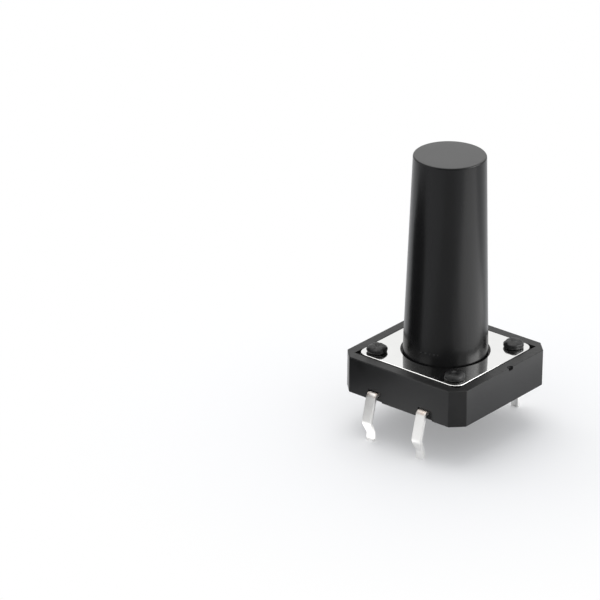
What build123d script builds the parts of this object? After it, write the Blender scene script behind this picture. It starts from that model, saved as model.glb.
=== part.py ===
from build123d import *
import os
from math import sqrt

# A push-button switch, 12 mm square, with a tall tapered stem, for a circuit board.
# Millimetres, +Z up the stem. The origin is the centre of the seating plane, where the four
# corner pads stand on the board. Both terminal strips run along X, so that their legs hang
# from the -X and +X sides.

# ---- Overall sizes ---------------------------------------------------------------------
body_side = 12.0            # housing, across its sides
rim_top = 3.2               # top of the housing's rim above the board
switch_height = 20.0        # top of the stem above the board
leg_drop = 3.3              # leg tips below the board's surface
travel = 0.3                # push of the stem, from rest to a closed contact

# ---- Housing ---------------------------------------------------------------------------
corner_cut = 1.0            # flat across each upright corner, along each side
rim_width = 0.85            # rim around the cover plate
floor_top = 1.2             # well floor above the board
pad_rise = 0.1              # corner pads stand proud of the underside
pad_side = 2.6
pad_inset = 0.45            # pads in from the housing's sides
notch_depth = 0.2           # leg notches in the sides
notch_tight = 0.1           # gap beside and above a leg
notch_wide = 0.4            # gap on a leg's other side
channel_width = 2.0         # shallow channel across the underside
channel_depth = 0.06
channel_end = 4.0           # half its length
pocket_width = 1.2          # mould pockets at the channel's two ends
pocket_length = 1.6
pocket_depth = 0.5
slot_width = 0.3
slot_foot = 1.0
gate_radius = 0.3           # scar where the moulding was cut from its gate
gate_x = 0.7
gate_depth = 0.25

# ---- Heat-staked posts -----------------------------------------------------------------
post_radius = 0.6
post_wall = 0.4             # housing left between the well and a post
head_radius = 0.84
head_foot_radius = 0.74     # where the head meets the plate
head_height = 0.6
head_belly = 0.2            # widest part of the head above the plate
head_dimple = 0.08

# ---- Cover plate -----------------------------------------------------------------------
plate_thickness = 0.3
plate_proud = 0.05          # plate's top above the rim
plate_gap = 0.1             # plate's edge to the rim
plate_corner = 0.9
plate_edge_roll = 0.08      # rounding that the blanking die leaves
post_clearance = 0.05

# ---- Stem ------------------------------------------------------------------------------
stem_base_radius = 3.42     # at the plate's top
stem_top_radius = 2.9
stem_edge = 0.18
stem_clearance = 0.16       # stem to the plate's hole
flange_lip = 0.6            # flange reaches under the plate
flange_thickness = 0.6
flange_gap = 0.3            # flange to the well's wall
flange_headroom = 0.05      # flange to the plate at rest
nub_radius = 1.2

# ---- Dome and film ---------------------------------------------------------------------
dome_height = 0.5
dome_thickness = 0.08
dome_gap = 0.45             # dome's edge to the well's wall
film_thickness = 0.05
film_gap = 0.03             # film to the dome, to the nub, and to the well's wall

# ---- Terminal strips -------------------------------------------------------------------
strip_thickness = 0.3
strip_top = 0.85            # strips lie under the well floor
leg_width = 0.9
tip_width = 0.7
leg_row_pitch = 5.0         # between the two strips
leg_stand_off = 0.25        # middle of a leg's tip out from the housing's side
leg_root_stand_off = 0.2    # middle of a leg at its top bend, from the side
leg_kink_stand_off = 0.75   # middle of a leg at its kink, from the side
leg_kink_drop = 1.6         # kink below the board's surface
leg_tip_length = 0.75       # straight end below the kink
leg_bend_radius = 0.3       # of the middle line
leg_kink_radius = 0.45
tip_chamfer = 0.06
contact_side = 0.9          # square contact pads raised from the strips
tongue_width = 1.2

# ---- Sizes that follow -----------------------------------------------------------------
body_half = body_side / 2
recess_side = body_side - 2 * rim_width
plate_side = recess_side - 2 * plate_gap
plate_top = rim_top + plate_proud
plate_bottom = plate_top - plate_thickness

hole_radius = stem_base_radius + stem_clearance
flange_radius = hole_radius + flange_lip
well_radius = flange_radius + flange_gap
head_top = plate_top + head_height
head_crown_radius = head_radius - (head_height - head_belly)
post_offset = (well_radius + post_wall + post_radius) / sqrt(2)

dome_radius = well_radius - dome_gap
dome_sphere = (dome_radius**2 + dome_height**2) / (2 * dome_height)
dome_centre_z = floor_top + dome_height - dome_sphere
film_radius = well_radius - film_gap
film_top = floor_top + dome_height + film_gap + film_thickness

flange_top = plate_bottom - flange_headroom
flange_bottom = flange_top - flange_thickness
nub_bottom = film_top + film_gap
stem_taper = (stem_base_radius - stem_top_radius) / (switch_height - plate_top)
stem_neck_radius = stem_base_radius + stem_taper * (plate_top - flange_top)

strip_middle = strip_top - strip_thickness / 2
row_y = leg_row_pitch / 2
leg_root_x = body_half + leg_root_stand_off
leg_kink_x = body_half + leg_kink_stand_off
leg_tip_x = body_half + leg_stand_off
leg_tip_top = leg_tip_length - leg_drop
centre_contact_top = floor_top + dome_height - dome_thickness - travel
rim_contact_radius = dome_radius - dome_thickness - contact_side / 4
rim_contact_x = sqrt(rim_contact_radius**2 - row_y**2)


def bent_strip(strip_y):
    """One stamped strip: flat under the well, with a kinked leg bent down at each end."""
    with BuildPart() as strip:
        with BuildLine(Plane.XZ.offset(-strip_y)):
            FilletPolyline(
                (0, strip_middle),
                (leg_root_x, strip_middle),
                (leg_kink_x, -leg_kink_drop),
                (leg_tip_x, leg_tip_top),
                (leg_tip_x, -leg_drop),
                radius=[leg_bend_radius, leg_kink_radius, leg_kink_radius],
            )
        with BuildSketch(Plane.YZ):
            with Locations((strip_y, strip_middle)):
                Rectangle(leg_width, strip_thickness)
        sweep()
        with BuildSketch(Plane.YZ.offset(body_half)) as beside_tip:
            with BuildLine():
                Polyline(
                    (strip_y + leg_width, -leg_kink_drop),
                    (strip_y + leg_width / 2, -leg_kink_drop),
                    (strip_y + tip_width / 2, leg_tip_top),
                    (strip_y + tip_width / 2, -leg_drop - leg_width),
                    (strip_y + leg_width, -leg_drop - leg_width),
                    close=True,
                )
            make_face()
            mirror(about=Plane.XZ.offset(-strip_y))
        extrude(beside_tip.sketch, amount=leg_kink_x, both=True, mode=Mode.SUBTRACT)
        chamfer(strip.faces().sort_by(Axis.Z)[0].edges(), tip_chamfer)
        mirror(about=Plane.YZ)
    return strip.part


centre_strip = bent_strip(row_y)
outer_strip = bent_strip(-row_y)

# ---- Centre terminal: a tongue carries the contact to the middle of the well --------------
with BuildPart() as centre_terminal:
    add(centre_strip)
    with BuildSketch(Plane.XY.offset(strip_top - strip_thickness)):
        with Locations((0, row_y / 2)):
            Rectangle(tongue_width, row_y + tongue_width)
    extrude(amount=strip_thickness)
    with BuildSketch(Plane.XY.offset(strip_top)):
        Rectangle(contact_side, contact_side)
    extrude(amount=centre_contact_top - strip_top)
centre_terminal.part.label = "centre_terminal"

# ---- Outer terminal: two contacts, flush with the well floor, under the dome's edge -------
with BuildPart() as outer_terminal:
    add(outer_strip)
    with BuildSketch(Plane.XY.offset(strip_top)):
        with Locations((-rim_contact_x, -row_y), (rim_contact_x, -row_y)):
            Rectangle(contact_side, contact_side)
    extrude(amount=floor_top - strip_top)
outer_terminal.part.label = "outer_terminal"

# ---- One heat-staked post: a round pin with a mushroom head pressed on the plate ----------
with BuildPart() as staked_post:
    with BuildSketch(Plane.XZ):
        with BuildLine():
            Polyline(
                (0, head_top - head_dimple),
                (0, plate_bottom),
                (post_radius, plate_bottom),
                (post_radius, plate_top),
                (head_foot_radius, plate_top),
            )
            belly = (head_radius, plate_top + head_belly)
            TangentArc(belly, (head_foot_radius, plate_top), tangent=(0, -1))
            TangentArc(belly, (head_crown_radius, head_top), tangent=(0, 1))
            TangentArc((0, head_top - head_dimple), (head_crown_radius, head_top), tangent=(1, 0))
        make_face()
    revolve(axis=Axis.Z)

# ---- Housing: moulded around both strips ---------------------------------------------------
with BuildPart() as housing:
    with BuildSketch(Plane.XY.offset(pad_rise)) as outline:
        Rectangle(body_side, body_side)
        chamfer(outline.vertices(), corner_cut)
    extrude(amount=rim_top - pad_rise)

    with BuildSketch(Plane.XY.offset(plate_bottom)):
        Rectangle(recess_side, recess_side)
    extrude(amount=rim_top - plate_bottom, mode=Mode.SUBTRACT)

    with BuildSketch(Plane.XY.offset(floor_top)):
        Circle(well_radius)
    extrude(amount=plate_bottom - floor_top, mode=Mode.SUBTRACT)

    with GridLocations(2 * post_offset, 2 * post_offset, 2, 2):
        add(staked_post.part)

    # leg notches, each wider on one side of its leg
    notch_width = leg_width + notch_tight + notch_wide
    notch_shift = (notch_wide - notch_tight) / 2
    notch_x = body_half - notch_depth / 2
    with BuildSketch(Plane.XY.offset(pad_rise)):
        for side in (-1, 1):
            for row in (-row_y, row_y):
                with Locations((side * notch_x, row + side * notch_shift)):
                    Rectangle(notch_depth, notch_width)
    extrude(amount=strip_top + notch_tight - pad_rise, mode=Mode.SUBTRACT)

    # corner pads: an inset square with its corners cut, less a wide cross
    with BuildSketch(Plane.XY.offset(pad_rise)) as pads:
        Rectangle(body_side - 2 * pad_inset, body_side - 2 * pad_inset)
        chamfer(pads.vertices(), corner_cut - pad_inset * (2 - sqrt(2)))
        cross_width = body_side - 2 * (pad_inset + pad_side)
        Rectangle(body_side, cross_width, mode=Mode.SUBTRACT)
        Rectangle(cross_width, body_side, mode=Mode.SUBTRACT)
    extrude(amount=-pad_rise)

    # underside: a shallow channel, a pocket at one end and a hooked slot at the other
    with BuildSketch(Plane.XY.offset(pad_rise)):
        Rectangle(2 * channel_end, channel_width)
    extrude(amount=channel_depth, mode=Mode.SUBTRACT)
    with BuildSketch(Plane.XY.offset(pad_rise)):
        with Locations((channel_end + pocket_width / 2, 0)):
            Rectangle(pocket_width, pocket_length)
        with Locations((-channel_end - slot_width / 2, 0)):
            Rectangle(slot_width, pocket_length)
        with Locations((-channel_end - slot_foot / 2, (slot_width - pocket_length) / 2)):
            Rectangle(slot_foot, slot_width)
    extrude(amount=pocket_depth, mode=Mode.SUBTRACT)

    # gate scar in the rim's outer edge
    with BuildSketch(Plane.XY.offset(rim_top)):
        with Locations((gate_x, -body_half)):
            Circle(gate_radius)
    extrude(amount=-gate_depth, mode=Mode.SUBTRACT)

    add(centre_terminal.part, mode=Mode.SUBTRACT)
    add(outer_terminal.part, mode=Mode.SUBTRACT)
housing.part.label = "housing"

# ---- Cover plate ---------------------------------------------------------------------------
with BuildPart() as cover_plate:
    with BuildSketch(Plane.XY.offset(plate_bottom)):
        RectangleRounded(plate_side, plate_side, plate_corner)
        Circle(hole_radius, mode=Mode.SUBTRACT)
        with GridLocations(2 * post_offset, 2 * post_offset, 2, 2):
            Circle(post_radius + post_clearance, mode=Mode.SUBTRACT)
    extrude(amount=plate_thickness)
    top_face = cover_plate.faces().sort_by(Axis.Z)[-1]
    fillet(top_face.outer_wire().edges(), plate_edge_roll)
cover_plate.part.label = "cover_plate"

# ---- Push stem: nub, flange and tapered shaft in one moulding --------------------------------
with BuildPart() as push_stem:
    with BuildSketch(Plane.XZ):
        with BuildLine():
            Polyline(
                (0, nub_bottom),
                (nub_radius, nub_bottom),
                (nub_radius, flange_bottom),
                (flange_radius, flange_bottom),
                (flange_radius, flange_top),
                (stem_neck_radius, flange_top),
                (stem_top_radius, switch_height),
                (0, switch_height),
                close=True,
            )
        make_face()
    revolve(axis=Axis.Z)
    fillet(push_stem.edges().group_by(Axis.Z)[-1], stem_edge)
push_stem.part.label = "push_stem"

# ---- Snap dome: a shallow spherical cap that stands on its edge -------------------------------
with BuildPart() as snap_dome:
    with Locations((0, 0, dome_centre_z)):
        Sphere(dome_sphere)
        Sphere(dome_sphere - dome_thickness, mode=Mode.SUBTRACT)
    split(bisect_by=Plane.XY.offset(floor_top))
snap_dome.part.label = "snap_dome"

# ---- Sealing film: follows the dome, with a flat ring around its foot --------------------------
with BuildPart() as sealing_film:
    with Locations((0, 0, dome_centre_z)):
        Sphere(dome_sphere + film_gap + film_thickness)
    split(bisect_by=Plane.XY.offset(floor_top))
    with BuildSketch(Plane.XY.offset(floor_top)):
        Circle(film_radius)
    extrude(amount=film_thickness)
    with Locations((0, 0, dome_centre_z)):
        Sphere(dome_sphere + film_gap, mode=Mode.SUBTRACT)
sealing_film.part.label = "sealing_film"

# ---- Files ---------------------------------------------------------------------------------------
os.makedirs("parts", exist_ok=True)
pieces = (
    housing, cover_plate, push_stem, snap_dome, sealing_film, centre_terminal, outer_terminal
)
for piece in pieces:
    export_step(piece.part, f"parts/{piece.part.label}.step")
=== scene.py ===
# %% [markdown]
# A push-button switch for a circuit board: a black moulded base 12 mm square, a polished steel
# cover held by four melted posts, a tall tapered stem that clicks when it is pushed, and two
# tinned metal strips whose ends hang down as legs. The imported CAD model is the frame that
# every piece is built around, so it is loaded first.

# %% Load the frame
import bpy
from math import atan2, cos, hypot, radians, sin, tan
from mathutils import Matrix, Vector


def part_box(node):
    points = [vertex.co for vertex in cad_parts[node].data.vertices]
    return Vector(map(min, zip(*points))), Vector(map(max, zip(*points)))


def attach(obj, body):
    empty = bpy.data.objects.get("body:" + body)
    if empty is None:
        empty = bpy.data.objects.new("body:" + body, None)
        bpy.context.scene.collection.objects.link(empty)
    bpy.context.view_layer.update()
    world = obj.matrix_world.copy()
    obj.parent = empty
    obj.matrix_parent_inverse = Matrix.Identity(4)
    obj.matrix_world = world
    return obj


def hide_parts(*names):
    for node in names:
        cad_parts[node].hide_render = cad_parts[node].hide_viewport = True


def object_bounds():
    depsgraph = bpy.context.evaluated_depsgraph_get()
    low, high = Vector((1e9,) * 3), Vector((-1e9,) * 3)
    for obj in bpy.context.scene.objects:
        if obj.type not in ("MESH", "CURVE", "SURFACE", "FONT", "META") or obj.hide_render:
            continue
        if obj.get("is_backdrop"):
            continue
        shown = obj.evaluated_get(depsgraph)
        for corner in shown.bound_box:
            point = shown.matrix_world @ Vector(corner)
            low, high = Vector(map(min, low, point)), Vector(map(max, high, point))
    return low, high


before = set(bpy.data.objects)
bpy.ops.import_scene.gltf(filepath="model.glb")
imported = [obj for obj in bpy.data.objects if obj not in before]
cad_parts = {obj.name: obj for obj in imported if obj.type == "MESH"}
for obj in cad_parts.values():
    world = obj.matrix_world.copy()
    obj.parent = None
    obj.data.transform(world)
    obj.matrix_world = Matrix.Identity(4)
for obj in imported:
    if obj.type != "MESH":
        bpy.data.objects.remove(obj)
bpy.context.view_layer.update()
MM = 0.001

# %% [markdown]
# Sizes come from the frame where a piece's box gives them: the height of the rim, the plate's
# thickness, the legs' reach. The few that no box gives, such as the well's radius or the
# width of a corner flat, are named here in millimetres, as on the maker's drawing.

# %% Shared sizes, in millimetres
plate_low, plate_high = (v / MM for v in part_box("cover_plate"))
stem_low, stem_high = (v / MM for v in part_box("push_stem"))
strip_low, strip_high = (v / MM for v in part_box("outer_terminal"))
base_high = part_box("housing")[1] / MM
centre_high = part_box("centre_terminal")[1] / MM

body_half = base_high.x
plate_half = plate_high.x
plate_bottom, plate_top = plate_low.z, plate_high.z
plate_proud, plate_gap = 0.05, 0.1
rim_top = plate_top - plate_proud
rim_inner = plate_half + plate_gap
underside = 0.1
corner_cut = 1.0
floor_top = 1.2
well_radius = 4.48
hole_radius = 3.58
post_spacing = 3.875
post_radius, head_radius = 0.6, 0.84
strip_top, strip_thickness = 0.85, 0.3
strip_bottom = strip_top - strip_thickness
blade_width, tip_width = 0.9, 0.7
row_y = (strip_low.y + strip_high.y) / -2
leg_drop = -strip_low.z
print("rim, plate, legs, rows:", [round(v, 2) for v in (rim_top, plate_top, leg_drop, row_y)])

# %% [markdown]
# An operator acts on whatever is selected, so every step starts by selecting one piece and
# nothing else. Faces and edges are picked by where they are, because their numbers change
# with every cut. These helpers keep the modelling cells short. A cutting tool always runs
# past the face that it cuts, because two faces in one plane confuse a Boolean modifier.

# %% Helpers for selecting and applying
past, overlap = 1.0, 0.1
aligned = 0.9


def select_only(*pieces):
    bpy.ops.object.select_all(action="DESELECT")
    for piece in pieces:
        piece.select_set(True)
    bpy.context.view_layer.objects.active = pieces[0]


def pick(piece, kind, test):
    """Enters edit mode with the faces or edges selected whose middle passes the test, in mm."""
    select_only(piece)
    bpy.ops.object.mode_set(mode="EDIT")
    bpy.ops.mesh.select_mode(type=kind)
    bpy.ops.mesh.select_all(action="DESELECT")
    bpy.ops.object.mode_set(mode="OBJECT")
    mesh = piece.data
    if kind == "FACE":
        for face in mesh.polygons:
            face.select = test(face.center / MM, face.normal)
    else:
        for edge in mesh.edges:
            a, b = (mesh.vertices[i].co / MM for i in edge.vertices)
            edge.select = test((a + b) / 2, (b - a).normalized())
    bpy.ops.object.mode_set(mode="EDIT")


def leave_edit_mode():
    bpy.ops.object.mode_set(mode="OBJECT")


def finish_with(piece, kind, **settings):
    """Adds a modifier, sets it and applies it."""
    select_only(piece)
    modifier = piece.modifiers.new(kind.title(), kind)
    for name, value in settings.items():
        setattr(modifier, name, value)
    bpy.ops.object.modifier_apply(modifier=modifier.name)


def round_edges(piece, width, segments=3, sharper_than=30):
    """A small bevel, in mm, along every edge that turns by more than an angle."""
    finish_with(piece, "BEVEL", width=width * MM, segments=segments, limit_method="ANGLE",
                angle_limit=radians(sharper_than))


def combine(piece, tool, operation):
    """Adds a tool piece to a piece, or cuts it away, and deletes the tool."""
    finish_with(piece, "BOOLEAN", operation=operation, object=tool, solver="EXACT")
    bpy.data.objects.remove(tool)


def report(piece):
    size = [round(v / MM, 2) for v in piece.dimensions]
    print(piece.name, "faces", len(piece.data.polygons), "size mm", size)


# %% [markdown]
# Two starting shapes serve the whole switch. A block is a cube placed by its two corners. A
# turned piece is a disc whose face is extruded and scaled from station to station, the way a
# potter draws up a wall, so a profile of radii and heights gives any round part.

# %% Starting shapes
def settle(name):
    piece = bpy.context.object
    piece.name = name
    piece.data.name = name
    bpy.ops.object.transform_apply(location=True, rotation=True, scale=True)
    return piece


def block(name, low, high):
    """A cube from one corner to the other, in mm."""
    bpy.ops.object.select_all(action="DESELECT")
    low, high = Vector(low) * MM, Vector(high) * MM
    bpy.ops.mesh.primitive_cube_add(size=1, location=(low + high) / 2, scale=high - low)
    return settle(name)


def turned(name, stations, sides=128, at=(0, 0)):
    """A round solid through (radius, height) stations, in mm, from its lowest face up."""
    bpy.ops.object.select_all(action="DESELECT")
    radius, height = stations[0]
    place = Vector((at[0], at[1], height)) * MM
    bpy.ops.mesh.primitive_circle_add(
        vertices=sides, radius=radius * MM, fill_type="NGON", location=place)
    piece = settle(name)
    bpy.ops.object.mode_set(mode="EDIT")
    bpy.ops.mesh.select_all(action="SELECT")
    for next_radius, next_height in stations[1:]:
        rise = (0, 0, (next_height - height) * MM)
        bpy.ops.mesh.extrude_region_move(TRANSFORM_OT_translate={"value": rise})
        share = next_radius / radius
        bpy.ops.transform.resize(value=(share, share, 1))
        radius, height = next_radius, next_height
    bpy.ops.mesh.select_all(action="SELECT")
    bpy.ops.mesh.normals_make_consistent(inside=False)
    leave_edit_mode()
    return piece


def arc_stations(centre_radius, centre_height, size, start, end, steps):
    """Stations along an arc of a profile; angles are in degrees from straight outwards."""
    angles = [radians(start + (end - start) * i / steps) for i in range(steps + 1)]
    return [(centre_radius + size * cos(a), centre_height + size * sin(a)) for a in angles]


def smooth(piece, angle=35):
    """Smooth shading that keeps flat faces flat and edges over the angle crisp."""
    select_only(piece)
    bpy.ops.object.shade_smooth_by_angle(angle=radians(angle))
    finish_with(piece, "WEIGHTED_NORMAL", keep_sharp=True, weight=100)


# %% [markdown]
# The stem is one moulding. Its nub rests on the dome, its flange is trapped under the cover,
# and its shaft tapers so that it leaves the mould. A turned profile gives all of it at once.
# The top edge is a small quarter round, which catches the thin light line that the real one
# has, and many sides keep the outline round in a close view.

# %% Push stem
stem_edge, flange_edge, nub_edge = 0.18, 0.05, 0.06
nub_radius, flange_radius = 1.2, stem_high.x
flange_headroom, flange_thickness = 0.05, 0.6
flange_top = plate_bottom - flange_headroom
flange_bottom = flange_top - flange_thickness
shaft_foot_radius, shaft_top_radius = 3.431, 2.9
stem_top, close_sides = stem_high.z, 192
taper = (shaft_foot_radius - shaft_top_radius) / (stem_top - flange_top)
edge_low_radius = shaft_top_radius + taper * stem_edge

stem = turned("stem_moulding", [
    (nub_radius - nub_edge, stem_low.z), (nub_radius, stem_low.z + nub_edge),
    (nub_radius, flange_bottom),
    (flange_radius - flange_edge, flange_bottom), (flange_radius, flange_bottom + flange_edge),
    (flange_radius, flange_top), (shaft_foot_radius, flange_top),
    *arc_stations(edge_low_radius - stem_edge, stem_top - stem_edge, stem_edge, 0, 90, 8),
    (shaft_top_radius / 2, stem_top),
], sides=close_sides)
smooth(stem)
report(stem)

# %% [markdown]
# The base starts as a block whose upright corners are bevelled flat. The recess for the
# cover, the round well under it, the leg notches and the channels that the strips lie in
# are cut with Boolean modifiers, because each is a plain tool shape sunk into a solid, which
# leaves clean walls. The outer edges then get a small round: no moulded edge is truly sharp.

# %% Base: the outer block with its recess and well
base_edge = 0.07
base = block("base_moulding", (-body_half, -body_half, underside),
             (body_half, body_half, rim_top))
pick(base, "EDGE", lambda middle, along: abs(along.z) > aligned)
bpy.ops.mesh.bevel(offset=corner_cut * MM, offset_type="OFFSET", segments=1)
leave_edit_mode()
round_edges(base, base_edge)

recess = block("recess", (-rim_inner, -rim_inner, plate_bottom),
               (rim_inner, rim_inner, rim_top + past))
combine(base, recess, "DIFFERENCE")
well = turned("well", [(well_radius, floor_top), (well_radius, plate_bottom + overlap)], sides=96)
combine(base, well, "DIFFERENCE")
report(base)

# %% [markdown]
# Four corner pads stand a tenth of a millimetre proud of the underside, so that the switch
# sits on them and not on the flash of its mould. One pad is made with its outer corner cut
# like the base's, and two mirrors make the rest. The leg notches are each wider on one side
# of the leg, and on the far side of the base it is the other side, as if turned half round.

# %% Base: pads, notches and underside
pad_inset, pad_side, pad_sink, pad_edge = 0.45, 2.6, 0.05, 0.02
inset_share = 0.586             # an inset square loses this share of its inset at a corner
pad_far = body_half - pad_inset
pads = block("pads", (pad_far - pad_side, pad_far - pad_side, 0),
             (pad_far, pad_far, underside + pad_sink))
pick(pads, "EDGE", lambda middle, along: (
    abs(along.z) > aligned and middle.x + middle.y > 2 * pad_far - overlap))
bpy.ops.mesh.bevel(offset=(corner_cut - pad_inset * inset_share) * MM,
                   offset_type="OFFSET", segments=1)
leave_edit_mode()
round_edges(pads, pad_edge, segments=1)
finish_with(pads, "MIRROR", use_axis=(True, True, False), use_mirror_merge=False)
combine(base, pads, "UNION")

notch_depth, notch_tight, notch_wide = 0.2, 0.1, 0.4
for side in (-1, 1):
    for row in (-row_y, row_y):
        ys = sorted((row - side * (blade_width / 2 + notch_tight),
                     row + side * (blade_width / 2 + notch_wide)))
        xs = sorted((side * (body_half - notch_depth), side * (body_half + past)))
        notch = block("notch", (xs[0], ys[0], underside - past),
                      (xs[1], ys[1], strip_top + notch_tight))
        combine(base, notch, "DIFFERENCE")

channel_end, channel_half, channel_depth = 4.0, 1.0, 0.06
pocket_width, pocket_half, pocket_depth = 1.2, 0.8, 0.5
slot_width, slot_reach = 0.3, 1.0
for name, low, high, depth in (
    ("channel", (-channel_end, -channel_half), (channel_end, channel_half), channel_depth),
    ("pocket", (channel_end, -pocket_half), (channel_end + pocket_width, pocket_half),
     pocket_depth),
    ("slot", (-channel_end - slot_width, -pocket_half), (-channel_end, pocket_half),
     pocket_depth),
    ("slot_foot", (-channel_end - slot_reach, -pocket_half),
     (-channel_end, -pocket_half + slot_width), pocket_depth),
):
    tool = block(name, (*low, underside - past / 2), (*high, underside + depth))
    combine(base, tool, "DIFFERENCE")
report(base)

# %% [markdown]
# The strips are moulded into the base, so the base has tunnels of their shape. The gate scar
# is where the moulding was snapped from its runner: a small half-round bite in the rim.

# %% Base: tunnels for the strips, and the gate scar
contact_half, tongue_half, rim_contact_x = 0.45, 0.6, 3.16
tunnel_end = 0.1
for row in (-row_y, row_y):
    tunnel = block("tunnel", (-body_half + tunnel_end, row - blade_width / 2, strip_bottom),
                   (body_half - tunnel_end, row + blade_width / 2, strip_top))
    combine(base, tunnel, "DIFFERENCE")
tongue = block("tongue", (-tongue_half, -tongue_half, strip_bottom),
               (tongue_half, row_y, strip_top))
combine(base, tongue, "DIFFERENCE")
for x, y in ((0, 0), (-rim_contact_x, -row_y), (rim_contact_x, -row_y)):
    tool = block("contact", (x - contact_half, y - contact_half, strip_top - overlap),
                 (x + contact_half, y + contact_half, floor_top + overlap))
    combine(base, tool, "DIFFERENCE")
scar_x, scar_inset, scar_depth, scar_rise = 0.7, 0.05, 0.25, 0.3
scar_low_radius, scar_high_radius = 0.26, 0.34
scar = turned("scar", [(scar_low_radius, rim_top - scar_depth),
                       (scar_high_radius, rim_top + scar_rise)],
              sides=24, at=(scar_x, -body_half + scar_inset))
combine(base, scar, "DIFFERENCE")
report(base)

# %% [markdown]
# The posts are part of the base. They come up through the cover and a hot tool melts their
# tops into heads, which leaves a puffy rim, a dimple and a lumpy skin. Each head is turned,
# then pushed about by a Displace modifier with a cloud texture. The texture is read in the
# frame's own coordinates, so the four heads come out different, as the real ones are.

# %% Base: melted post heads
cloud = bpy.data.textures.new("melt_lumps", "CLOUDS")
cloud.noise_scale = 0.5 * MM
cloud.noise_depth = 2
belly, foot_radius, foot_rise, post_sink = 0.2, 0.7, 0.005, 0.2
lump_depth, lump_middle, lumps_above = 0.17, 0.62, 0.12
dome_profile = ((0.83, 0.29), (0.79, 0.37), (0.71, 0.45), (0.6, 0.51), (0.47, 0.55),
                (0.34, 0.565), (0.24, 0.55), (0.16, 0.5), (0.07, 0.48))
posts = []
for x in (-post_spacing, post_spacing):
    for y in (-post_spacing, post_spacing):
        head = turned("staked_post", [
            (post_radius, plate_bottom - post_sink), (post_radius, plate_top),
            (foot_radius, plate_top + foot_rise),
            *arc_stations(head_radius - belly, plate_top + belly, belly, -60, 0, 4),
            *((radius, plate_top + rise) for radius, rise in dome_profile),
        ], sides=48, at=(x, y))
        loose = head.vertex_groups.new(name="melted")
        melted = [v.index for v in head.data.vertices if v.co.z > (plate_top + lumps_above) * MM]
        loose.add(melted, 1.0, "REPLACE")
        finish_with(head, "DISPLACE", texture=cloud, texture_coords="LOCAL", direction="NORMAL",
                    strength=lump_depth * MM, mid_level=lump_middle, vertex_group="melted")
        posts.append(head)
for head in posts:
    combine(base, head, "UNION")
smooth(base)
report(base)

# %% [markdown]
# The cover is blanked from polished sheet. The die rolls its top edge over, and that tiny
# round draws the bright line along the near sides, so the edge is bevelled in edit mode
# before the holes are cut. The flat face keeps its own normals: on a mirror, the smallest
# tilt of shading would bend the reflections.

# %% Cover plate
plate_corner, plate_roll, hole_roll, hole_flare = 0.9, 0.06, 0.03, 0.04
post_clearance, skin = 0.05, 0.01
cover = block("cover_sheet", (-plate_half, -plate_half, plate_bottom),
              (plate_half, plate_half, plate_top))
pick(cover, "EDGE", lambda middle, along: abs(along.z) > aligned)
bpy.ops.mesh.bevel(offset=plate_corner * MM, offset_type="OFFSET", segments=12)
leave_edit_mode()
pick(cover, "EDGE", lambda middle, along: (
    middle.z > plate_top - skin and abs(along.z) < 1 - aligned))
bpy.ops.mesh.bevel(offset=plate_roll * MM, offset_type="OFFSET", segments=4)
leave_edit_mode()
hole = turned("hole", [
    (hole_radius, plate_bottom - past), (hole_radius, plate_top - hole_roll),
    (hole_radius + hole_roll, plate_top), (hole_radius + hole_flare, plate_top + past),
], sides=close_sides)
combine(cover, hole, "DIFFERENCE")
for x in (-post_spacing, post_spacing):
    for y in (-post_spacing, post_spacing):
        radius = post_radius + post_clearance
        hole = turned("hole", [(radius, plate_bottom - past), (radius, plate_top + past)],
                      sides=48, at=(x, y))
        combine(cover, hole, "DIFFERENCE")
smooth(cover)
report(cover)

# %% [markdown]
# A leg is a flat blade that the press bends down out of the base, splays outwards, kinks
# back so that it springs in its hole, and narrows at the tip. It is drawn like that: the
# end face is extruded along each straight run, and turned in small steps around the centre
# of each bend. One half is made and mirrored, since a strip has a leg at each end.

# %% Bending a strip
leg_root_stand_off, leg_kink_stand_off, leg_stand_off = 0.2, 0.75, 0.25
leg_kink_drop, leg_tip_length = 1.6, 0.75
leg_bend_radius, leg_kink_radius, bend_steps = 0.3, 0.45, 9
weld = 0.001


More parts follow.
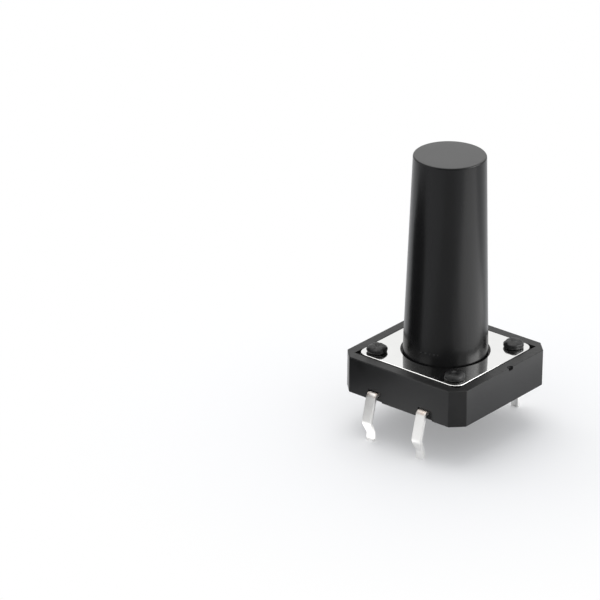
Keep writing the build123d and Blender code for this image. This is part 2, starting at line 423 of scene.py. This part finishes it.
def press_strip(name, row):
    """The flat run, top bend, splayed leg, kink and tip of one strip, both ends."""
    middle = strip_top - strip_thickness / 2
    corners = [(0, middle), (body_half + leg_root_stand_off, middle),
               (body_half + leg_kink_stand_off, -leg_kink_drop),
               (body_half + leg_stand_off, leg_tip_length - leg_drop),
               (body_half + leg_stand_off, -leg_drop)]
    bend_radii = [0, leg_bend_radius, leg_kink_radius, leg_kink_radius, 0]
    headings = [atan2(b[1] - a[1], b[0] - a[0]) for a, b in zip(corners, corners[1:])]
    turns = [0, *(b - a for a, b in zip(headings, headings[1:])), 0]
    trims = [r * abs(tan(t / 2)) for r, t in zip(bend_radii, turns)]

    run = corners[1][0] - trims[1]
    strip = block(name, (0, row - blade_width / 2, strip_bottom),
                  (run, row + blade_width / 2, strip_top))
    pick(strip, "FACE", lambda centre, normal: normal.x < -aligned)
    bpy.ops.mesh.delete(type="FACE")
    leave_edit_mode()
    pick(strip, "FACE", lambda centre, normal: normal.x > aligned)
    end = Vector((run, row, middle))
    for i in (1, 2, 3):
        ahead = Vector((cos(headings[i - 1]), 0, sin(headings[i - 1])))
        inward = Vector((ahead.z, 0, -ahead.x)) * (1 if turns[i] < 0 else -1)
        centre = end + inward * bend_radii[i]
        for _ in range(bend_steps):
            bpy.ops.mesh.extrude_region_move(TRANSFORM_OT_translate={"value": (0, 0, 0)})
            bpy.ops.transform.rotate(value=turns[i] / bend_steps, orient_axis="Y",
                                     center_override=centre * MM)
        spin = Matrix.Rotation(-turns[i], 3, "Y")
        end = centre + spin @ (end - centre)
        a, b = corners[i], corners[i + 1]
        length = hypot(b[0] - a[0], b[1] - a[1]) - trims[i] - trims[i + 1]
        step = Vector((cos(headings[i]), 0, sin(headings[i]))) * length
        bpy.ops.mesh.extrude_region_move(TRANSFORM_OT_translate={"value": step * MM})
        end += step
        if i == 2:
            bpy.ops.transform.resize(value=(1, tip_width / blade_width, 1))
    leave_edit_mode()
    print(name, "leg tip at", [round(v, 3) for v in end])
    finish_with(strip, "MIRROR", use_axis=(True, False, False), merge_threshold=weld * MM)
    select_only(strip)
    bpy.ops.object.mode_set(mode="EDIT")
    bpy.ops.mesh.select_all(action="SELECT")
    bpy.ops.mesh.remove_doubles(threshold=weld * MM)
    bpy.ops.mesh.normals_make_consistent(inside=False)
    leave_edit_mode()
    return strip


centre_strip = press_strip("centre_strip", row_y)
outer_strip = press_strip("outer_strip", -row_y)

# %% [markdown]
# Inside the base, the first strip has a tongue to the contact in the middle of the well, and
# the second has a raised contact under each side of the dome. They are joined on as blocks,
# and then every edge of both strips gets the small burr-free round that barrel plating leaves.

# %% Contacts and edges of the strips
strip_edge = 0.05
tongue = block("tongue", (-tongue_half, -tongue_half, strip_bottom),
               (tongue_half, row_y, strip_top))
combine(centre_strip, tongue, "UNION")
button = block("contact", (-contact_half, -contact_half, strip_top - overlap),
               (contact_half, contact_half, centre_high.z))
combine(centre_strip, button, "UNION")
for x in (-rim_contact_x, rim_contact_x):
    button = block("contact", (x - contact_half, -row_y - contact_half, strip_top - overlap),
                   (x + contact_half, -row_y + contact_half, floor_top))
    combine(outer_strip, button, "UNION")
for strip in (centre_strip, outer_strip):
    round_edges(strip, strip_edge, sharper_than=40)
    smooth(strip)
    report(strip)

# %% [markdown]
# Shader maths reads best as plain expressions. A Socket wraps one output of a node, and an
# expression such as 0.3 + grain * 0.1 adds the Math nodes behind it. Every other node comes
# from one method, which sets its options first and then its inputs.

# %% Shader helpers
class Socket:
    """One node output that can be used in sums."""

    def __init__(self, tree, output):
        self.tree, self.output = tree, output

    def sum_of(self, operation, first, second=None):
        node = self.tree.nodes.new("ShaderNodeMath")
        node.operation = operation
        for socket, value in zip(node.inputs, (first, second)):
            if isinstance(value, Socket):
                self.tree.links.new(value.output, socket)
            elif value is not None:
                socket.default_value = value
        return Socket(self.tree, node.outputs[0])

    def __add__(self, other):
        return self.sum_of("ADD", self, other)

    def __radd__(self, other):
        return self.sum_of("ADD", other, self)

    def __sub__(self, other):
        return self.sum_of("SUBTRACT", self, other)

    def __rsub__(self, other):
        return self.sum_of("SUBTRACT", other, self)

    def __mul__(self, other):
        return self.sum_of("MULTIPLY", self, other)

    def __rmul__(self, other):
        return self.sum_of("MULTIPLY", other, self)

    def __lt__(self, other):
        return self.sum_of("LESS_THAN", self, other)


class Finish:
    """A material, or the world, that is built node by node."""

    def __init__(self, name, family="materials"):
        self.owner = getattr(bpy.data, family).new(name)
        self.owner.use_nodes = True
        self.tree = self.owner.node_tree
        self.tree.nodes.clear()

    def node(self, kind, settings=None, inputs=None, out=0):
        made = self.tree.nodes.new("ShaderNode" + kind)
        for name, value in (settings or {}).items():
            setattr(made, name, value)
        for name, value in (inputs or {}).items():
            if isinstance(value, Socket):
                self.tree.links.new(value.output, made.inputs[name])
            else:
                made.inputs[name].default_value = value
        return Socket(self.tree, made.outputs[out]) if made.outputs else None

    def place(self, axis=None):
        """The point on the piece, in metres, or one of its coordinates in millimetres."""
        point = self.node("TexCoord", out="Object")
        if axis is None:
            return point
        return self.node("SeparateXYZ", inputs={"Vector": point}, out=axis) * (1 / MM)

    def noise(self, size, detail=3.0, stretch=(1, 1, 1)):
        """Cloudy noise whose blotches are about this many millimetres across."""
        scale = [1 / (size * MM * s) for s in stretch]
        point = self.node("Mapping", {"vector_type": "POINT"},
                          {"Vector": self.place(), "Scale": scale})
        return self.node("TexNoise", inputs={"Vector": point, "Scale": 1.0, "Detail": detail},
                         out="Fac")

    def blend(self, mask, first, second):
        """A colour between two, by a mask from 0 to 1."""
        first, second = (c if isinstance(c, Socket) else (*c, 1) for c in (first, second))
        return self.node("Mix", {"data_type": "RGBA", "clamp_factor": True},
                         {0: mask, 6: first, 7: second}, out=2)

    def rise(self, value, low, high):
        """0 up to one value, then evenly up to 1 at another."""
        return self.node("MapRange", inputs={"Value": value, "From Min": low, "From Max": high})

    def band(self, value, low, high, soft):
        """1 between two values, falling to 0 over a soft edge."""
        up = self.node("MapRange", {"interpolation_type": "SMOOTHSTEP"},
                       {"Value": value, "From Min": low - soft, "From Max": low})
        down = self.node("MapRange", {"interpolation_type": "SMOOTHSTEP"},
                         {"Value": value, "From Min": high, "From Max": high + soft})
        return up * (1 - down)

    def bump(self, height, depth, under=None):
        """Relief of a real depth in millimetres."""
        inputs = {"Height": height, "Strength": 1.0, "Distance": depth * MM}
        if under is not None:
            inputs["Normal"] = under
        return self.node("Bump", inputs=inputs, out="Normal")

    def surface(self, **inputs):
        """The closing shader. Names use an underscore for a space."""
        named = {name.replace("_", " "): value for name, value in inputs.items()}
        shader = self.node("BsdfPrincipled", inputs=named)
        self.node("OutputMaterial", inputs={"Surface": shader})
        return self.owner


# %% [markdown]
# The base is black nylon, moulded in a spark-eroded cavity: a fine grain breaks up its
# reflections, broad patches shine a little more than others, and it is never quite one
# black. Grain goes to the bump and roughness, and the patches to roughness and colour.

# %% Base plastic
def moulded_base():
    finish = Finish("black_nylon")
    height = finish.place("Z")
    patches = finish.noise(1.6, 4)
    mottle = finish.noise(0.45, 4)
    grain = finish.noise(0.035, 2)
    specks = finish.noise(0.12, 3)
    handled = finish.band(height, rim_top - 0.04, rim_top + 2, 0.05)
    tone = finish.blend(patches, (0.007, 0.007, 0.0072), (0.014, 0.014, 0.0143))
    dusty = finish.rise(specks, 0.64, 0.8)
    colour = finish.blend(dusty * 0.3, tone, (0.05, 0.049, 0.047))
    swells = finish.bump(mottle * handled, 0.02)
    relief = finish.bump(grain, 0.0018, finish.bump(specks, 0.003, swells))
    return finish.surface(
        Base_Color=colour, Normal=relief, Specular_IOR_Level=0.34,
        Roughness=0.23 + patches * 0.14 + grain * 0.05 + mottle * handled * 0.2)


# %% [markdown]
# The stem is the same black in a better polished mould, so it shows soft vertical lights.
# Its flat top comes from a duller insert and is handled, so it is a matter black, and it is
# painted a lighter grey there: a painted sheen of the bright light from above.
# Faint marks low on the shaft are where the mould's halves and pins met.

# %% Stem plastic
def moulded_stem():
    finish = Finish("black_stem")
    height = finish.place("Z")
    patches = finish.noise(2.2, 3, stretch=(1, 1, 2.5))
    grain = finish.noise(0.03, 2)
    end_face = finish.band(height, stem_top - 0.02, stem_top + 1, 0.03)
    tone = finish.blend(patches, (0.005, 0.005, 0.0052), (0.010, 0.010, 0.0103))
    # The top face is painted a lighter grey: a painted sheen of the light from above.
    colour = finish.blend(end_face, tone, (0.082, 0.082, 0.081))
    across = finish.place("X") * 0.635 - finish.place("Y") * 0.772
    toward = finish.place("X") + finish.place("Y")
    marks = finish.band(height, plate_top + 0.95, plate_top + 1.03, 0.05)
    marks = marks * finish.band(across, -2.1, -0.5, 0.1) * (toward < 0.0)
    flecks = finish.rise(finish.noise(0.25, 1, stretch=(1, 1, 9)), 0.5, 0.6)
    relief = finish.bump(marks * flecks, 0.02, finish.bump(grain, 0.0015))
    colour = finish.blend(marks * flecks * 0.4, colour, (0.05, 0.05, 0.05))
    return finish.surface(
        Base_Color=colour, Roughness=0.22 + patches * 0.07 + end_face * 0.2,
        Specular_IOR_Level=0.24, Normal=relief)


# %% [markdown]
# The cover is polished stainless steel: a clear mirror with the faintest rolling lines and a
# slow waviness. It is all metal, so its look is its colour, a very low roughness and what
# stands around it.

# %% Cover steel
def polished_steel():
    finish = Finish("polished_steel")
    rolling = finish.noise(0.06, 2, stretch=(30, 1, 1))
    waves = finish.noise(3.5, 1)
    smears = finish.noise(0.9, 4)
    colour = finish.blend(smears, (0.83, 0.83, 0.82), (0.88, 0.88, 0.87))
    relief = finish.bump(waves, 0.0012, finish.bump(rolling, 0.0001))
    return finish.surface(
        Base_Color=colour, Metallic=1.0, Normal=relief,
        Roughness=0.035 + smears * 0.03 + rolling * 0.02)


# %% [markdown]
# The legs are brass with a matt tin plating. Tin is a soft warm white with a fine crystal
# grain, rubbed along the blade by the press tool. At the top bend, where the leg leaves the
# base, the tin is painted a darker straw brown in blotches: painted shade and a painted
# reflection of the dark base.

# %% Tinned strips
def tinned_brass():
    finish = Finish("matt_tin")
    height = finish.place("Z")
    crystal = finish.noise(0.09, 4)
    rubs = finish.noise(0.12, 3, stretch=(1, 1, 9))
    blotch = finish.noise(0.4, 3)
    tin = finish.blend(crystal, (0.90, 0.895, 0.875), (1.0, 0.995, 0.98))
    # The top bend is painted darker and browner in blotches: painted shade and painted reflection
    # of the dark base.
    painted_bend_shade = finish.band(height, strip_top - 0.2, 2.0, 0.14) * finish.rise(blotch, 0.35, 0.62)
    colour = finish.blend(painted_bend_shade * 0.55, tin, (0.55, 0.40, 0.30))
    relief = finish.bump(crystal, 0.006, finish.bump(rubs, 0.006))
    return finish.surface(
        Base_Color=colour, Metallic=1.0, Normal=relief,
        Roughness=0.36 + crystal * 0.14 + rubs * 0.08)


# %% [markdown]
# The dome and the film are hidden while the switch is whole, but they are real pieces and
# keep their CAD shapes, so they get real finishes: spring steel with a fine draw grain, and
# clear amber film.

# %% Hidden pieces
def spring_steel():
    finish = Finish("spring_steel")
    grain = finish.noise(0.05, 3, stretch=(12, 1, 1))
    colour = finish.blend(grain, (0.55, 0.54, 0.52), (0.70, 0.69, 0.67))
    return finish.surface(
        Base_Color=colour, Metallic=1.0, Roughness=0.24 + grain * 0.12,
        Normal=finish.bump(grain, 0.001))


def amber_film():
    finish = Finish("amber_film")
    waves = finish.noise(1.2, 2)
    colour = finish.blend(waves, (0.72, 0.33, 0.05), (0.82, 0.42, 0.08))
    return finish.surface(
        Base_Color=colour, Roughness=0.14 + waves * 0.08, Normal=finish.bump(waves, 0.004))


# %% [markdown]
# Each new piece takes its material, rides on the CAD body that it belongs to, and hides
# its CAD node. The dome and film stay as CAD nodes and only change their material slots.

# %% Fit the pieces to the frame
def dress(piece, material, body, node):
    piece.data.materials.clear()
    piece.data.materials.append(material)
    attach(piece, body)
    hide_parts(node)


tin = tinned_brass()
dress(base, moulded_base(), "base", "housing")
dress(cover, polished_steel(), "base", "cover_plate")
dress(stem, moulded_stem(), "stem", "push_stem")
dress(centre_strip, tin, "base", "centre_terminal")
dress(outer_strip, tin, "base", "outer_terminal")
for node, material in (("snap_dome", spring_steel()), ("sealing_film", amber_film())):
    cad_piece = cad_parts[node]
    for place in range(len(cad_piece.material_slots)):
        cad_piece.material_slots[place].material = material
    print(node, "keeps its CAD shape with", material.name)

# %% [markdown]
# The floor is a pale sheet that takes the switch's shadow. For the camera alone, about a
# fifth of it is plain white, so the shadow is never deep, and it turns all white further off.
# The change reads the floor's own coordinates, so it stays put when the camera moves.

# %% Floor
floor_gap, floor_side = 0.002, 4
own_white, fade_start, fade_end = 0.22, 9.0, 34.0
floor_z = -leg_drop - floor_gap
bpy.ops.object.select_all(action="DESELECT")
bpy.ops.mesh.primitive_plane_add(size=floor_side, location=(0, 0, floor_z * MM))
floor = settle("floor")
sheet = Finish("pale_sheet")
reach = sheet.node("VectorMath", {"operation": "LENGTH"}, {"Vector": sheet.place()}, out="Value")
away = sheet.node("MapRange", {"interpolation_type": "SMOOTHSTEP"},
                  {"Value": reach * (1 / MM), "From Min": fade_start, "From Max": fade_end})
seen = sheet.node("LightPath", out="Is Camera Ray")
lit = sheet.node("BsdfDiffuse", inputs={"Color": (0.90, 0.90, 0.905, 1)})
white = sheet.node("Emission", inputs={"Color": (1, 1, 1, 1), "Strength": 1.0})
share = seen * (own_white + away * (1 - own_white))
mixed = sheet.node("MixShader", inputs={0: share, 1: lit, 2: white})
sheet.node("OutputMaterial", inputs={"Surface": mixed})
floor.data.materials.append(sheet.owner)
floor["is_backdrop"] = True

# %% [markdown]
# The light is a white tent: an even glow from above and all round, and one large soft lamp
# above and behind. To the camera and to mirrors the tent is plain white. A black object
# shows only what it reflects, so cards do the rest, as in a studio, and only reflections see
# them: a black block where a second switch would lie, the dark side of the room behind the
# camera, a grey card in front, a bright one lying to the right, a lamp box above it, and a
# small white card by the near legs.

# %% The tent
tent = Finish("white_tent", "worlds")
bpy.context.scene.world = tent.owner
by_eye, by_mirror, through = (
    tent.node("LightPath", out=kind)
    for kind in ("Is Camera Ray", "Is Glossy Ray", "Is Transmission Ray"))
direct = tent.node("Math", {"operation": "MAXIMUM"}, {0: by_eye, 1: by_mirror})
shown = tent.node("Math", {"operation": "MAXIMUM"}, {0: direct, 1: through})
glow = tent.node("Background", inputs={"Color": (0.95, 0.97, 1.0, 1), "Strength": 0.8})
clear = tent.node("Background", inputs={"Color": (1, 1, 1, 1), "Strength": 1.0})
either = tent.node("MixShader", inputs={0: shown, 1: glow, 2: clear})
tent.node("OutputWorld", inputs={"Surface": either})
print("the tent has", len(tent.tree.nodes), "nodes")


# %% Lamp and cards
def heading(azimuth, elevation=0.0):
    """The direction from the switch towards a compass angle and a height angle."""
    a, e = radians(azimuth), radians(elevation)
    return Vector((sin(a) * cos(e), -cos(a) * cos(e), sin(e)))


def soft_lamp(name, azimuth, elevation, distance, size, watts):
    """A square area lamp that looks at the switch's middle, placed by angles, in mm."""
    light = bpy.data.lights.new(name, "AREA")
    light.size = size * MM
    light.energy = watts
    light.color = (1.0, 0.985, 0.965)
    lamp = bpy.data.objects.new(name, light)
    lamp.location = (lamp_target + heading(azimuth, elevation) * distance) * MM
    lamp.rotation_euler = heading(azimuth, elevation).to_track_quat("Z", "Y").to_euler()
    bpy.context.scene.collection.objects.link(lamp)


def reflected_card(name, centre, azimuth, tilt, size, strength):
    """A card that only mirror-like rays see. Tilt 0 lies flat, 90 stands facing the switch."""
    bpy.ops.object.select_all(action="DESELECT")
    bpy.ops.mesh.primitive_cube_add(size=1, location=centre * MM, scale=Vector(size) * MM,
                                    rotation=(radians(tilt), 0, radians(azimuth)))
    card = settle(name)
    paint = Finish(name)
    shine = paint.node("Emission", inputs={"Color": (1, 1, 1, 1), "Strength": strength})
    paint.node("OutputMaterial", inputs={"Surface": shine})
    card.data.materials.append(paint.owner)
    card.visible_camera = False
    card.visible_diffuse = False
    card.visible_shadow = False
    card.visible_transmission = False
    card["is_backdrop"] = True
    print(name, "at mm", [round(v, 1) for v in centre], "strength", strength)


lamp_target = Vector((0, 0, 6))
soft_lamp("top_lamp", azimuth=150, elevation=72, distance=150, size=140, watts=0.11)
camera_azimuth, camera_elevation = -50.56, 24.42
to_camera, to_left = heading(camera_azimuth), heading(camera_azimuth - 90)
block_middle, just_above = Vector((0, 0, floor_z + 6)), Vector((0, 0, floor_z + 0.3))
reflected_card("black_block", to_left * 21.5 + block_middle,
               azimuth=camera_azimuth, tilt=0, size=(13, 14, 12), strength=0.0)
reflected_card("room_side", heading(camera_azimuth - 5, 24) * 150,
               azimuth=camera_azimuth - 5, tilt=90, size=(200, 100, 1), strength=0.02)
reflected_card("front_card", to_camera * 45 + just_above,
               azimuth=camera_azimuth, tilt=0, size=(34, 70, 0.1), strength=0.6)
reflected_card("right_card", heading(14) * 48 + just_above,
               azimuth=14, tilt=0, size=(46, 62, 0.1), strength=2.6)
reflected_card("leg_card", to_left * 7.5 + to_camera * 5 + just_above,
               azimuth=camera_azimuth, tilt=0, size=(7, 8, 0.1), strength=1.35)
reflected_card("lamp_box", heading(30, 28) * 150,
               azimuth=30, tilt=62, size=(95, 80, 1), strength=6.0)

# %% [markdown]
# A long lens from a third of a metre keeps the upright edges nearly parallel. The camera is
# set back along its own axis and slid sideways and up, so that the switch stands to the
# right of the frame and a little low, without any lens shift.

# %% Camera
camera_roll, camera_distance, slide_left, slide_up = 0.4, 320.1, 11.57, 6.77
camera_data = bpy.data.cameras.new("long_lens")
camera_data.lens = 240
camera_data.sensor_width = 36
camera_data.clip_start, camera_data.clip_end = 0.01, 10
camera = bpy.data.objects.new("long_lens", camera_data)
bpy.context.scene.collection.objects.link(camera)
bpy.context.scene.camera = camera
turn, roll = radians(camera_azimuth), radians(camera_roll)
back = heading(camera_azimuth, camera_elevation)
level = Vector((cos(turn), sin(turn), 0))
upright = back.cross(level)
right = level * cos(roll) + upright * sin(roll)
up = upright * cos(roll) - level * sin(roll)
camera_place = (back * camera_distance - right * slide_left + up * slide_up
                + Vector((0, 0, underside)))
camera.matrix_world = Matrix((
    (right.x, up.x, back.x, camera_place.x * MM),
    (right.y, up.y, back.y, camera_place.y * MM),
    (right.z, up.z, back.z, camera_place.z * MM),
    (0, 0, 0, 1)))
bpy.context.scene.view_settings.view_transform = "Standard"
print("camera at mm", [round(v, 1) for v in camera_place])

# %% [markdown]
# The visual pieces are built to fill the same box as the CAD ones, so their box is printed.

low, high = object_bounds()
print("visual box in mm:", [round(v / MM, 2) for v in (*low, *high)])
